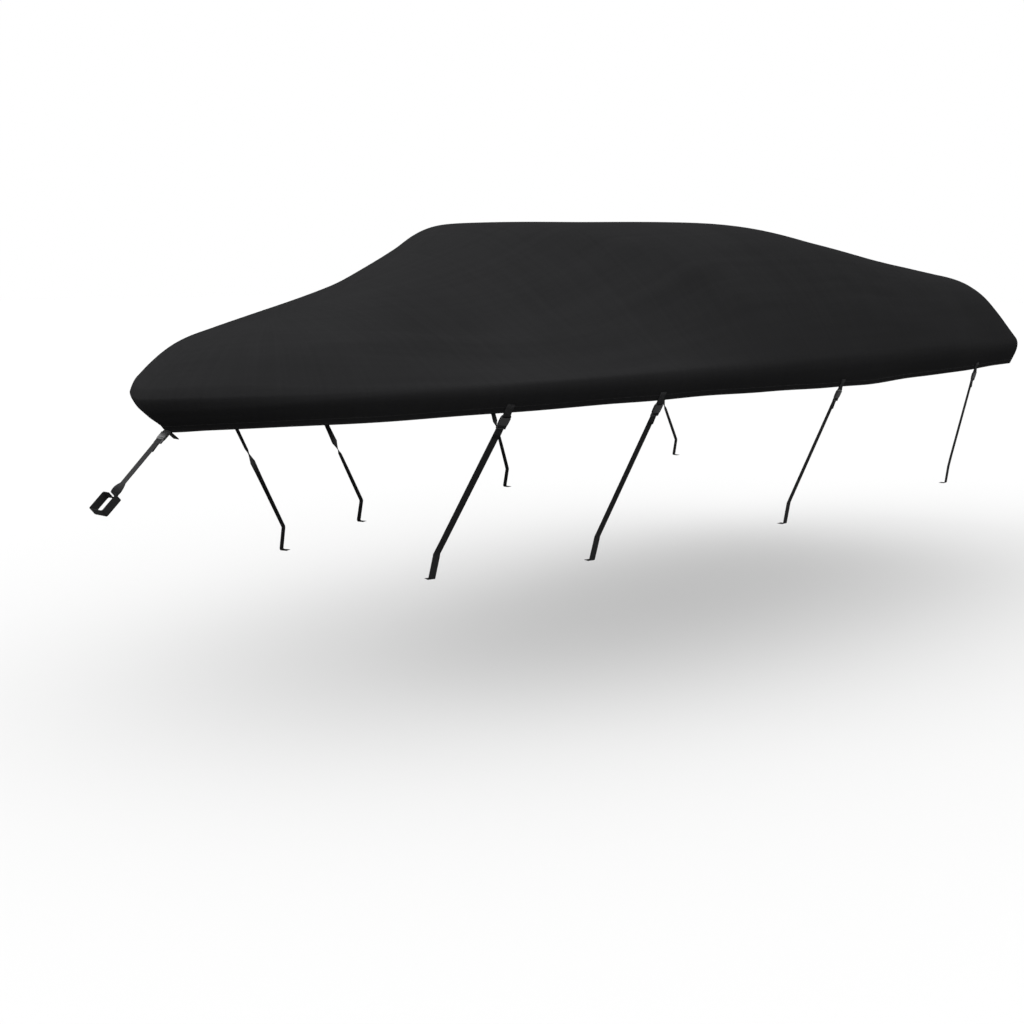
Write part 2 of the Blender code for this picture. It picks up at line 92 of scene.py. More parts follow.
def end_slope(steps, rises, near, far):
    """The slope at an end of a curve, from the two stretches next to it."""
    slope = (2 * steps[near] + steps[far]) * rises[near] - steps[near] * rises[far]
    slope = slope / (steps[near] + steps[far])
    if slope * rises[near] <= 0:
        return 0.0
    if rises[near] * rises[far] < 0 and abs(slope) > 3 * abs(rises[near]):
        return 3 * rises[near]
    return slope


def curve(*rows):
    """A smooth curve through rows of (x, value), as a function of an array."""
    xs, ys = np.array(rows, float).T
    steps, rises = np.diff(xs), np.diff(ys) / np.diff(xs)
    slopes = np.zeros(len(xs))
    for k in range(1, len(xs) - 1):
        if rises[k - 1] * rises[k] > 0:
            before, after = 2 * steps[k] + steps[k - 1], steps[k] + 2 * steps[k - 1]
            slopes[k] = (before + after) / (before / rises[k - 1] + after / rises[k])
    slopes[0], slopes[-1] = end_slope(steps, rises, 0, 1), end_slope(steps, rises, -1, -2)

    def at(x):
        x = np.clip(x, xs[0], xs[-1])
        i = np.clip(np.searchsorted(xs, x, side="left") - 1, 0, len(steps) - 1)
        t = (x - xs[i]) / steps[i]
        return (
            (1 + 2 * t) * (1 - t) ** 2 * ys[i]
            + t * (1 - t) ** 2 * steps[i] * slopes[i]
            + t * t * (3 - 2 * t) * ys[i + 1]
            + t * t * (t - 1) * steps[i] * slopes[i + 1]
        )

    return at


print("halfway up a step from 0 to 1:", float(curve((0, 0), (1, 0), (2, 1), (3, 1))(1.5)))

# %% [markdown]
# ## The outline of the cover
# The rim is a rounded bow, nearly straight sides and a stern with small corners. Three rows of numbers do
# the rest: the height along the middle, how full the cross-section is, and how deep the skirt hangs. All of
# them run from the tip of the bow: x goes aft, y to starboard and z up. ORIGIN moves them into the frame of
# the solids.

# %% Outline, heights and depths
ORIGIN = np.array((3.00, 0.0, 0.6625))
LENGTH, BEAM = 5.2725, 2.30
BOW_RUN, BOW_POWER, BOW_FULLNESS = 2.590, 2.388, 1.428
STERN_TAPER, CORNER, CAMBER = 0.036, 0.121, 0.0435
SHEER_RISE, SHEER_DROP = 0.0564, 0.015

roof = curve(
    (0.00, 0.055), (0.25, 0.189), (0.50, 0.229), (0.80, 0.300), (1.05, 0.377), (1.30, 0.473), (1.50, 0.549),
    (1.75, 0.638), (2.30, 0.652), (3.00, 0.665), (3.60, 0.604), (4.20, 0.514), (4.50, 0.469), (4.80, 0.424),
    (5.05, 0.393), (5.25, 0.220),
)
fullness = curve(
    (0.0, 3.75), (0.5, 4.22), (1.2, 2.0), (2.0, 3.25), (3.0, 3.77), (3.7, 4.18), (4.2, 5.1), (4.6, 6.67),
    (5.0, 8.12), (5.4, 1.8),
)
skirt_rows = curve(
    (0.00, 0.1355), (0.10, 0.126), (0.30, 0.1216), (0.60, 0.116), (1.00, 0.112), (1.40, 0.110), (1.70, 0.116),
    (2.43, 0.133), (3.07, 0.154), (3.36, 0.160), (4.05, 0.154), (4.60, 0.150), (5.25, 0.139),
)


def half_breadth(x):
    """Half the width of the rim."""
    fore, aft = np.clip(x / BOW_RUN, 0, 1), np.clip((x - BOW_RUN) / (LENGTH - BOW_RUN), 0, 1)
    breadth = BEAM / 2 * (1 - (1 - fore) ** BOW_POWER) ** (1 / BOW_FULLNESS)
    return breadth * (1 - STERN_TAPER * aft**2)


def sheer(x):
    """Height of the rim, which rises from the bow and falls a little towards the stern."""
    fore, aft = np.clip(x / BOW_RUN, 0, 1), np.clip((x - BOW_RUN) / BOW_RUN, 0, 1)
    return SHEER_RISE * (1 - (1 - fore) ** 2) - SHEER_DROP * aft**2


print("breadth at x 1, 2 and 4 m:", [round(2 * float(half_breadth(x)), 3) for x in (1.0, 2.0, 4.0)])

# %% [markdown]
# ## Walking round the rim
# Everything on the cover is placed by how far it is round the rim from the tip of the bow, port side first.
# The rim is stored as many short steps, closer together at the bow where it turns most, and a place on it
# is looked up by its length. A length is easier to share out evenly than an x or an angle.

# %% The rim as a closed line
SIDE_STEPS, SIDE_CROWD, TURN_STEPS = 500, 2.2, 30

straight = LENGTH - CORNER
side_x = straight * (np.arange(SIDE_STEPS + 1) / SIDE_STEPS) ** SIDE_CROWD
turn_share = np.arange(1, TURN_STEPS + 1) / TURN_STEPS
turn_angle = math.pi / 2 * turn_share
stern_share = 1 - turn_share
stern_breadth = float(half_breadth(straight))
rim_x = np.r_[side_x, straight + CORNER * np.sin(turn_angle), LENGTH + CAMBER * (1 - stern_share**2)]
rim_y = np.r_[
    half_breadth(side_x),
    stern_breadth - CORNER + CORNER * np.cos(turn_angle),
    (stern_breadth - CORNER) * stern_share,
]
rim_length = np.r_[0.0, np.cumsum(np.hypot(np.diff(rim_x), np.diff(rim_y)))]
HALF = rim_length[-1]
WHOLE = 2 * HALF


def rim(s):
    """Points of the rim in plan at lengths s round it."""
    s = np.mod(s, WHOLE)
    near = np.where(s <= HALF, s, WHOLE - s)
    side = np.where(s <= HALF, -1.0, 1.0)
    return np.stack((np.interp(near, rim_length, rim_x), side * np.interp(near, rim_length, rim_y)), -1)


def station(x):
    """Length along the port side at which the rim reaches x."""
    return float(np.interp(x, rim_x[: len(side_x)], rim_length[: len(side_x)]))


print("once round the rim:", round(WHOLE, 3), "m")

# %% [markdown]
# ## The top panel
# The top runs from the rim in to a line along the middle, which stops short of the bow and stern, so that
# the cloth fans out round both ends. Each cross-section is a power curve: a low power gives a steady slope,
# and a high one a flat top with steep sides. The highest part sweeps back at its sides, which is done by
# looking up the height a little further forward the further out a point is.

# %% The top panel
SPINE_START, SPINE_END, SPINE_BLEND = 0.55, 4.70, 0.25
SWEEP, SWEEP_START, SWEEP_END, SWEEP_FADE = 1.15, 1.5, 4.4, 2.4
TIP_X, TIP_BREADTH = 0.02, 0.3


def spine(edge):
    """The x at which the line from a rim point meets the middle line, with both ends eased."""
    x = SPINE_START + SPINE_BLEND * np.log1p(np.exp((edge[..., 0] - SPINE_START) / SPINE_BLEND))
    return SPINE_END - SPINE_BLEND * np.log1p(np.exp((SPINE_END - x) / SPINE_BLEND))


def span(edge):
    """How far it is in plan from a rim point to the middle line."""
    return np.hypot(edge[..., 0] - spine(edge), edge[..., 1])


def top_panel(edge, out):
    """A point of the top: out is 1 on the rim and 0 on the line along the middle."""
    middle = spine(edge)
    x, y = middle + (edge[..., 0] - middle) * out, edge[..., 1] * out
    reach = np.abs(y) / np.maximum(half_breadth(np.clip(x, TIP_X, LENGTH)), TIP_BREADTH)
    fade = np.clip(x / SWEEP_START, 0, 1) * np.clip((SWEEP_END - x) / SWEEP_FADE, 0, 1)
    low = sheer(edge[..., 0])
    rise = (roof(x - SWEEP * reach**2 * fade) - low) * (1 - out ** fullness(edge[..., 0]))
    return np.stack((x, y, low + rise), -1)


middle_top = top_panel(rim(HALF / 2), 0.0)
print("height on the middle line, half way:", round(float(middle_top[2]), 3))

# %% [markdown]
# ## The skirt
# The skirt hangs from the rim and tucks in under it, most of all at the bow. It bulges a little before it
# tucks in. Its hem is never quite straight, because it is pulled at the ties and slack between them: three
# slow waves of a millimetre or two, of different lengths, give that without anything random.

# %% The skirt panel
SKIRT_TUCK, BOW_TUCK, BOW_TUCK_RUN, BOW_TUCK_POWER = 0.0282, 0.1234, 0.40, 1.2
SKIRT_BULGE, BULGE_SCALE, TUCK_EASE = 0.0097, 6.75, 0.9
# waves round the hem, phase, how far up and how far in
SLACK = ((9, 0.8, 0.0015, 0.0020), (14, 2.1, 0.0010, 0.0012), (23, 4.4, 0.0008, 0.0005))


def skirt_depth(s):
    """How far the hem hangs below the rim."""
    turns = 2 * math.pi * np.asarray(s) / WHOLE
    return skirt_rows(rim(s)[..., 0]) + sum(up * np.sin(n * turns + at) for n, at, up, _ in SLACK)


def skirt_panel(s, edge, below):
    """A point of the skirt, a given distance below the rim."""
    share = below / skirt_depth(s)
    bow = np.exp(-((edge[..., 0] / BOW_TUCK_RUN) ** BOW_TUCK_POWER))
    eased = share**TUCK_EASE
    tuck = SKIRT_TUCK * share**2 - SKIRT_BULGE * (1 - bow) * BULGE_SCALE * share * (1 - share) ** 2
    tuck = tuck + BOW_TUCK * bow * eased**2 * (3 - 2 * eased)
    turns = 2 * math.pi * s / WHOLE
    tuck = tuck + share * sum(move * np.sin(n * turns + 2 * at) for n, at, _, move in SLACK)
    inward = unit(np.stack((spine(edge) - edge[..., 0], -edge[..., 1]), -1))
    flat = edge + inward * tuck[..., None]
    return np.concatenate((flat, (sheer(edge[..., 0]) - below)[..., None]), -1)


print("skirt depth at the bow and amidships:", [round(float(skirt_depth(s)), 4) for s in (0.0, HALF / 2)])

# %% [markdown]
# ## A soft crease
# Cloth has no hard corner where it turns over the rim. Every point is a weighted mean of five points along
# its own line, from a little above it to a little below. That rounds the crease and leaves the rest as it
# was. A Bevel would need an edge to follow, and this works wherever the points of a grid fall.

# %% The whole cloth, before its folds
CREASE_SOFT, BOW_SOFT, BOW_SOFT_RUN = 0.006, 0.0425, 0.45
BOW_REACH, BOW_REACH_RUN = 0.014, 0.18
SOFT_WEIGHTS = (1, 4, 6, 4, 1)


def smooth_cloth(s, up):
    """Points of the cloth, up metres in from the rim on the top, or down the skirt where up is negative."""
    s, up = np.broadcast_arrays(np.asarray(s, float), np.asarray(up, float))
    edge, depth = rim(s), skirt_depth(s)
    reach = span(edge)
    soft = CREASE_SOFT + BOW_SOFT * np.exp(-((edge[..., 0] / BOW_SOFT_RUN) ** 2))
    soft = np.minimum(soft, np.where(up < 0, depth + up, reach - up))
    point = 0.0
    for k, weight in enumerate(SOFT_WEIGHTS):
        here = up + (k - len(SOFT_WEIGHTS) // 2) * soft
        top = top_panel(edge, np.clip(1 - here / reach, 0, 1))
        low = skirt_panel(s, edge, np.clip(-here, 0, depth))
        point = point + np.where((here > 0)[..., None], top, low) * weight / sum(SOFT_WEIGHTS)
    point[..., 0] -= BOW_REACH * np.exp(-((np.maximum(point[..., 0], 0) / BOW_REACH_RUN) ** 2))
    return point


hem_check = smooth_cloth(station(3.06), -skirt_depth(station(3.06)))
print("hem at the third tie:", [round(float(v), 4) for v in hem_check])

# %% [markdown]
# ## Folds
# Taut cloth still shows long, shallow troughs and ridges where it is pulled from one firm place to another:
# round the foot of the raised part, along the flat beside it, and out to the stern. They are what makes it
# read as cloth. Each is an arc in plan with its own depth and width. Wide ones set the form and narrow
# ones lie near them, as a real pull has a sharp line inside a soft one. They are shaped in the mesh instead
# of by a bump in the material, so that they are seen from the side too.

# %% Folds as arcs
# side, start, bend and end (x, share of the way out to the rim), depth (minus is a ridge), width
LONG_FOLDS = (
    (-1, (2.50, 0.70), (1.97, 0.815), (1.40, 0.65), -0.009, 0.075),
    (-1, (2.13, 0.63), (1.70, 0.60), (1.25, 0.42), -0.007, 0.070),
    (-1, (2.76, 0.75), (3.60, 0.84), (5.05, 0.95), 0.011, 0.085),
    (-1, (0.28, 0.62), (0.95, 0.75), (1.70, 0.79), -0.007, 0.065),
    (1, (2.42, 0.69), (1.95, 0.80), (1.45, 0.64), -0.009, 0.078),
    (1, (2.20, 0.60), (1.72, 0.58), (1.30, 0.40), -0.006, 0.070),
    (1, (2.85, 0.77), (3.70, 0.86), (5.00, 0.93), 0.010, 0.085),
    (1, (0.32, 0.64), (0.98, 0.76), (1.75, 0.80), -0.007, 0.065),
)
# narrow ones: the pull round the foot of the raised part, the line drawn out to the stern, streaks towards
# the stern, and the bend over the front of the raised part
SHARP_FOLDS = (
    (-1, (2.52, 0.705), (1.98, 0.82), (1.40, 0.65), -0.0050, 0.030),
    (-1, (2.62, 0.74), (2.10, 0.86), (1.55, 0.72), 0.0040, 0.040),
    (-1, (0.30, 0.62), (0.95, 0.745), (1.60, 0.775), -0.0035, 0.030),
    (-1, (1.50, 0.775), (2.30, 0.90), (4.05, 0.925), -0.0060, 0.042),
    (-1, (0.40, 0.80), (1.20, 0.83), (1.90, 0.88), 0.0040, 0.050),
    (-1, (3.40, 0.80), (3.80, 0.845), (4.30, 0.885), -0.0040, 0.032),
    (-1, (3.30, 0.83), (3.72, 0.875), (4.25, 0.905), 0.0034, 0.030),
    (-1, (4.00, 0.80), (4.40, 0.835), (4.85, 0.87), -0.0030, 0.040),
    (-1, (2.66, 0.70), (2.50, 0.80), (2.30, 0.885), -0.0045, 0.050),
    (-1, (1.36, 0.02), (1.60, 0.16), (1.82, 0.42), -0.0045, 0.050),
    (-1, (3.05, 0.55), (3.30, 0.66), (3.50, 0.79), 0.0035, 0.055),
    (1, (2.45, 0.695), (1.96, 0.805), (1.45, 0.64), -0.0050, 0.032),
    (1, (2.55, 0.73), (2.05, 0.85), (1.55, 0.71), 0.0040, 0.042),
    (1, (1.60, 0.78), (2.40, 0.90), (3.95, 0.92), -0.0055, 0.044),
    (1, (3.50, 0.81), (3.90, 0.85), (4.40, 0.89), -0.0040, 0.036),
    (1, (1.36, 0.02), (1.58, 0.15), (1.80, 0.40), -0.0045, 0.050),
)
FOLDS = LONG_FOLDS + SHARP_FOLDS
ARC_STEPS, FOLD_ENDS, FOLD_FADE = 41, (0.06, 0.94), 0.6
MIDDLE_FADE, RIM_FADE = 0.2, 0.04


def fold_depth(point):
    """How far the folds lower the cloth at points in plan."""
    x, y = point[..., 0], np.abs(point[..., 1])
    depth = np.zeros(x.shape)
    for side, *corners, deep, wide in FOLDS:
        ax, ay, bx, by, cx, cy = [v for fx, out in corners for v in (fx, out * float(half_breadth(fx)))]
        nearest, place = np.full(x.shape, 1e9), np.zeros(x.shape)
        for t in np.linspace(0, 1, ARC_STEPS):
            px = ax * (1 - t) ** 2 + bx * 2 * t * (1 - t) + cx * t * t
            py = ay * (1 - t) ** 2 + by * 2 * t * (1 - t) + cy * t * t
            gap = (x - px) ** 2 + (y - py) ** 2
            place = np.where(gap < nearest, t, place)
            nearest = np.minimum(gap, nearest)
        ends = np.sin(math.pi * np.clip(place, *FOLD_ENDS)) ** FOLD_FADE
        here = deep * ends * np.exp(-nearest / wide**2)
        depth += np.where(point[..., 1] * side > 0, here, 0)
    return depth


def cloth_surface(s, up):
    """The outside of the cloth with its folds, which fade out at the middle line and at the rim."""
    point = smooth_cloth(s, up)
    s, up = np.broadcast_arrays(np.asarray(s, float), np.asarray(up, float))
    out = 1 - up / span(rim(s))
    lower = fold_depth(point) * np.clip(out / MIDDLE_FADE, 0, 1) * np.clip((1 - out) / RIM_FADE, 0, 1)
    point[..., 2] -= np.where(up > 0, lower, 0)
    return point


print("folds:", len(FOLDS))

# %% [markdown]
# ## Ties, and where they hang
# Nine ties pull the hem down: four a side and one at the bow. Each needs its hem point and three directions:
# along the hem, down the skirt and out of it. They are measured on the cloth itself, so that the sewn tabs
# lie flat on it.

# %% Tie places
TAB_HALF, TAB_BAND = 0.0185, 0.045
SIDE_TIES = {"1": 1.015, "2": 1.695, "3": 3.060, "4": 4.640}

ties = {"bow": 0.0}
for tie, tie_x in SIDE_TIES.items():
    ties["port_" + tie] = station(tie_x)
    ties["starboard_" + tie] = WHOLE - station(tie_x)


def tie_frame(s):
    """Hem point of a tie, and the direction out of the skirt there."""
    at = s + np.array((-TAB_HALF, TAB_HALF))
    low, high = smooth_cloth(at, -skirt_depth(at)), smooth_cloth(at, TAB_BAND - skirt_depth(at))
    hem, along = low.mean(0), unit(low[1] - low[0])
    down = unit(hem - high.mean(0))
    return hem, unit(np.cross(down, along))


print({name: [round(float(v), 3) for v in tie_frame(s)[0]] for name, s in ties.items()})

# %% [markdown]
# ## A grid on the cloth
# Columns run from the hem up to the middle line, closer together where the rim turns, and rings run round
# them, closer together at the hem and the crease. A grid from a rule is used instead of a cloth simulation
# because the cover is stretched tight: its shape is known, and it has no slack to fall.

# %% Places of the columns and rings
HALF_COLUMNS, RIM_PLACES, TURN_WEIGHT = 190, 3001, 0.9
HEM_RINGS = (0.0, 0.003, 0.008, 0.014, 0.020, 0.0245)
BAND_RINGS = (0.0275, 0.033, 0.045)
SKIRT_RINGS, TOP_RINGS, TOP_CROWD = 14, 71, 0.45


def even_places(count):
    """Places from the bow to the middle of the stern, closer together where the rim turns."""
    s = np.linspace(0, HALF, RIM_PLACES)
    run = unit(rim(s[1:]) - rim(s[:-1]))
    turn = np.arccos(np.clip((run[1:] * run[:-1]).sum(1), -1, 1))
    weight = np.r_[0, np.cumsum(np.diff(s) + TURN_WEIGHT * np.r_[turn, 0])]
    return np.interp(np.linspace(0, weight[-1], count + 1), weight, s)


def ring_heights(depth, reach):
    """Distances up from the rim for each ring, from the hem at minus the skirt's depth to the middle."""
    rings = [-depth + up for up in HEM_RINGS + BAND_RINGS]
    for part in np.linspace(0, 1, SKIRT_RINGS + 1)[1:]:
        rings.append(-(depth - BAND_RINGS[-1]) * (1 - part))
    for part in np.linspace(0, 1, TOP_RINGS + 1)[1:]:
        rings.append(reach * (part * (1 - TOP_CROWD) + TOP_CROWD * part**2))
    return np.array(rings)


half_places = even_places(HALF_COLUMNS)
places = np.r_[half_places, WHOLE - half_places[-2:0:-1]]
ups = ring_heights(skirt_depth(places), span(rim(places)))
grid = cloth_surface(places, ups)
print("rings and columns:", ups.shape)

# %% [markdown]
# ## The cloth as a mesh
# The two halves of the last ring lie on the middle line from both sides, so their points are shared there
# and the top closes without a seam. Each face corner gets a UV in metres, round the rim and up from it, and
# the weave follows it later.

# %% Cloth mesh
def mesh_piece(name, verts, faces, uvs=None, uv_name="cloth"):
    """A mesh object from arrays of points and faces, smooth shaded, with a UV pair for each face corner."""
    mesh = bpy.data.meshes.new(name)
    mesh.from_pydata([tuple(v) for v in np.asarray(verts, float) - ORIGIN], [], [tuple(f) for f in faces])
    if uvs is not None:
        layer = mesh.uv_layers.new(name=uv_name)
        layer.data.foreach_set("uv", np.asarray(uvs, np.float32).ravel())
    mesh.polygons.foreach_set("use_smooth", [True] * len(mesh.polygons))
    piece = bpy.data.objects.new(name, mesh)
    bpy.context.scene.collection.objects.link(piece)
    return piece


def cloth_mesh():
    """The outside of the cloth, facing out, closed along the middle line."""
    rows, columns = ups.shape
    index = np.arange(rows * columns).reshape(rows, columns)
    mirror = (columns - np.arange(columns)) % columns
    index[-1] = np.where(np.arange(columns) <= columns // 2, index[-1], index[-1][mirror])
    along = np.r_[places, WHOLE]
    faces, uvs = [], []
    for i in range(rows - 1):
        for j in range(columns):
            k = (j + 1) % columns
            faces.append((index[i, j], index[i + 1, j], index[i + 1, k], index[i, k]))
            uvs += [(along[j], ups[i, j]), (along[j], ups[i + 1, j])]
            uvs += [(along[j + 1], ups[i + 1, k]), (along[j + 1], ups[i, k])]
    piece = mesh_piece("cloth", grid.reshape(-1, 3), faces, uvs)
    bm = bmesh.new()
    bm.from_mesh(piece.data)
    bmesh.ops.delete(bm, geom=[v for v in bm.verts if not v.link_faces], context="VERTS")
    bmesh.ops.recalc_face_normals(bm, faces=bm.faces)
    if sum(f.normal.z * f.calc_area() for f in bm.faces) < 0:
        bmesh.ops.reverse_faces(bm, faces=bm.faces)
    bm.to_mesh(piece.data)
    bm.free()
    return piece


cloth = cloth_mesh()

# %% [markdown]
# ## Thickness and hem
# Solidify gives the sheet its thickness inwards, so that the outside stays where it was measured. The hem
# is turned up once and so is thicker. A vertex group on the lowest rings tells Solidify which part that is,
# which keeps cloth and hem one piece.

# %% Thickness and hem
CLOTH_THICK, HEM_THICK, HEM_BAND = 0.002, 0.0045, 0.025

hem_group = cloth.vertex_groups.new(name="hem")
hem_group.add(list(range(len(HEM_RINGS) * len(places))), 1.0, "REPLACE")
shell = cloth.modifiers.new("thickness", "SOLIDIFY")
shell.thickness, shell.offset, shell.use_even_offset = HEM_THICK, -1, True
shell.vertex_group, shell.thickness_vertex_group = "hem", CLOTH_THICK / HEM_THICK
print("cloth and hem thickness in mm:", CLOTH_THICK * 1000, HEM_THICK * 1000)

# %% [markdown]
# ## Webbing
# Each tie is 32 mm webbing, 1.4 mm thick with rounded edges. A section of sixteen points is carried along
# the tie's path and kept square to it, which bends round a buckle's bar as real webbing does. A curve with a
# bevel would roll at the quarter twist by the bow, so the side of the webbing is given at every point. Its
# UVs are its own width and length in metres, and the ribs follow every turn.

# %% Webbing along a path
WEBBING, WEB_THICK = 0.032, 0.0014
EDGE_IN, SHOULDER_IN = 0.0003, 0.0011


def web_section():
    """Half the width and thickness of webbing as a closed line of points, with rounded selvedges."""
    a, b = WEBBING / 2, WEB_THICK / 2
    rows = ((a, 0.0), (a - EDGE_IN, 0.65 * b), (a - SHOULDER_IN, b), (a * 0.5, 0.94 * b), (0.0, b * 0.9))
    half = list(rows) + [(-x, y) for x, y in reversed(rows[:-1])]
    return np.array(half + [(x, -y) for x, y in reversed(half[1:-1])])


def lengths_along(points):
    """Length from the first point to each of them."""
    return np.r_[0, np.cumsum(np.linalg.norm(np.diff(points, axis=0), axis=1))]


def webbing(name, path, across):
    """A webbing piece along a path, with its width along the across vectors."""
    path, across = np.array(path, float), np.array(across, float)
    steps = unit(np.diff(path, axis=0))
    run = unit(np.r_[steps[:1], unit(steps[1:] + steps[:-1]), steps[-1:]])
    side = unit(across - run * (across * run).sum(1, keepdims=True))
    up = np.cross(run, side)
    lean = np.r_[1.0, np.sqrt(np.clip((1 + (steps[1:] * steps[:-1]).sum(1)) / 2, 0.3, 1)), 1.0]
    section = web_section()
    rings = path[:, None] + side[:, None] * section[None, :, :1]
    rings = rings + up[:, None] * section[None, :, 1:] / lean[:, None, None]
    count, n = len(path), len(section)
    length, girth = lengths_along(path), lengths_along(np.r_[section, section[:1]])
    faces, uvs = [], []
    for i in range(count - 1):
        for j in range(n):
            k = (j + 1) % n
            faces.append((i * n + j, i * n + k, (i + 1) * n + k, (i + 1) * n + j))
            uvs += [(girth[j], length[i]), (girth[j + 1], length[i])]
            uvs += [(girth[j + 1], length[i + 1]), (girth[j], length[i + 1])]
    for ring in (range(n), range((count - 1) * n, count * n)):
        faces.append(tuple(ring))
        uvs += [(girth[j], 0.0) for j in range(n)]
    piece = mesh_piece(name, rings.reshape(-1, 3), faces, uvs, "webbing")
    bm = bmesh.new()
    bm.from_mesh(piece.data)
    bmesh.ops.recalc_face_normals(bm, faces=bm.faces)
    bm.to_mesh(piece.data)
    bm.free()
    return piece


print("webbing section:", len(web_section()), "points")

# %% [markdown]
# ## Side views of a tab and a lock
# A folded tab of webbing is sewn to the skirt and holds the socket half of a buckle. The strap is laced
# through the plug half: down from its short tail, and round the lock's bar. Both are drawn as a side view,
# a short list of points with an arc round the bar, because webbing only bends that way.

# %% Tab and lock from the side
SEWN_GAP, TAB_UP = 0.0004, 0.038
BAR_OUT, BAR_DOWN, BAR_TURN = 0.0039, 0.012, 0.0030
LADDER, TAIL = 0.0474, 0.052


def arc(centre, first, last, steps):
    """Points round a bar in a side view, between two angles in degrees."""
    angles = np.radians(np.linspace(first, last, steps))
    return [(centre[0] + BAR_TURN * math.cos(a), centre[1] + BAR_TURN * math.sin(a)) for a in angles]


back = SEWN_GAP + WEB_THICK / 2
front = back + WEB_THICK + SEWN_GAP
# (down from the hem, out of the skirt)
TAB_SIDE = (
    [(-TAB_UP, front), (-0.020, front), (-0.004, front + 0.0004)]
    + arc((BAR_DOWN, BAR_OUT), 78, -78, 13)
    + [(-0.002, back), (-0.020, back), (-TAB_UP, back)]
)
# (along the pull from the buckle's bar, out)
LOCK_SIDE = [
    (LADDER + TAIL, 0.0016), (LADDER + 0.034, 0.0002), (LADDER + 0.020, -0.0007), (LADDER + 0.0078, -0.0009),
] + arc((LADDER, 0.0), 59, 270, 17)
print("tab points:", len(TAB_SIDE), "lock points:", len(LOCK_SIDE))

# %% [markdown]
# ## The far end of a side strap
# A side strap runs down from its buckle to a bend, then straight down, and turns in under at its foot. Its
# width turns a little in plan from tie to tie, since the two sides are closer together towards the bow.

# %% Side strap ends
# tie: bend, foot, turn in plan in degrees
ENDS = {
    "1": ((1.045, 0.461, -0.664), (1.025, 0.454, -0.762), 20.0),
    "2": ((1.747, 0.717, -0.664), (1.722, 0.711, -0.762), 14.0),
    "3": ((3.024, 0.891, -0.664), (3.001, 0.889, -0.762), 5.0),
    "4": ((4.750, 0.930, -0.664), (4.727, 0.929, -0.762), 1.5),
}
BEND_OUT, BEND_UP, BEND_DOWN = 0.0014, 0.0025, 0.004
FOOT_TURN, FOOT_CUT, FOOT_UNDER = 0.006, 0.0018, 0.034


def side_end(side, bend, foot, degrees):
    """A side strap's end: over its bend, down, and in under at the foot."""
    turn = math.radians(degrees)
    along = np.array((math.cos(turn), side * math.sin(turn), 0.0))
    inward = np.array((math.sin(turn), -side * math.cos(turn), 0.0))
    top, low = (np.array((p[0], side * p[1], p[2])) for p in (bend, foot))
    up = np.array((0, 0, 1.0))
    points = [
        top - inward * BEND_OUT + up * BEND_UP,
        top - up * BEND_DOWN,
        low + up * FOOT_TURN,
        low + inward * FOOT_CUT + up * FOOT_CUT,
        low + inward * FOOT_TURN,
        low + inward * FOOT_UNDER,
    ]
    return top, points, [along] * len(points)


print("drop of each side strap below its bend:", [round(b[2] - f[2], 3) for b, f, _ in ENDS.values()])

# %% [markdown]
# ## The loop of the bow strap
# The bow strap makes a quarter twist, then goes once round a square with rounded corners and back to its
# start. The loop keeps the shape that it was pulled tight to. Its corners are four arcs of the same
# function, with the sign of each corner's inset worked out from where it is.

# %% Bow strap loop
BOW_BAND, BAND_PITCH = np.array((-0.103, 0.0, -0.337)), math.radians(40.5)
BAND_SIDE, BAND_CLEAR, BAND_CORNER, CORNER_POINTS = 0.076, 0.0015, 0.006, 6
TWIST, TWIST_END, TWIST_STEPS = 0.062, 0.008, 6
MEET = 0.004
# points that lead onto the loop: before its near side, to port
LEAD = ((0.004, 0.002), (0.001, 0.010))


def bow_end():
    """The bow tie's end: a quarter twist, then once round a square and back to the run."""
    ahead = np.array((-math.cos(BAND_PITCH), 0.0, -math.sin(BAND_PITCH)))
    port, width = np.array((0.0, -1.0, 0.0)), np.array((-math.sin(BAND_PITCH), 0.0, math.cos(BAND_PITCH)))
    reach, near, far = BAND_SIDE / 2 + BAND_CLEAR, -BAND_CLEAR, BAND_SIDE + BAND_CLEAR
    points, across = [], []
    for part in np.arange(TWIST_STEPS) / TWIST_STEPS:
        turned = math.pi / 2 * part
        points.append(BOW_BAND - ahead * (TWIST * (1 - part) + TWIST_END * part))
        across.append(np.array((0, 1, 0)) * math.cos(turned) + width * math.sin(turned))
    points += [BOW_BAND + ahead * (near - before) + port * to_port for before, to_port in LEAD]
    for a, p, start, end in (
        (near, reach, 180, 90), (far, reach, 90, 0), (far, -reach, 0, -90), (near, -reach, -90, -180)
    ):
        inset_a = BAND_CORNER if a == near else -BAND_CORNER
        inset_p = -BAND_CORNER if p > 0 else BAND_CORNER
        for angle in np.radians(np.linspace(start, end, CORNER_POINTS)):
            step = ahead * (a + inset_a + BAND_CORNER * math.cos(angle))
            points.append(BOW_BAND + step + port * (p + inset_p + BAND_CORNER * math.sin(angle)))
    points.append(BOW_BAND + ahead * near - port * MEET)
    across += [width] * (len(points) - len(across))
    return points[0], points, across


print("points of the bow strap's end:", len(bow_end()[1]))

# %% [markdown]
# ## Hanging the ties
# Each tab and strap takes the place of its plain solid. Paths are made from the side views above, in the
# directions measured at each tie. On the straight run the webbing turns from the way it lies in the buckle to
# the way it lies at its end. On the starboard side these two directions are nearly opposite, so each strap
# there takes a half twist and comes out too narrow half way. That is a known flaw, here and in the solids.

# %% Build tabs and straps
RUN_PARTS = (0.12, 0.25, 0.4, 0.5, 0.6, 0.75, 0.9)

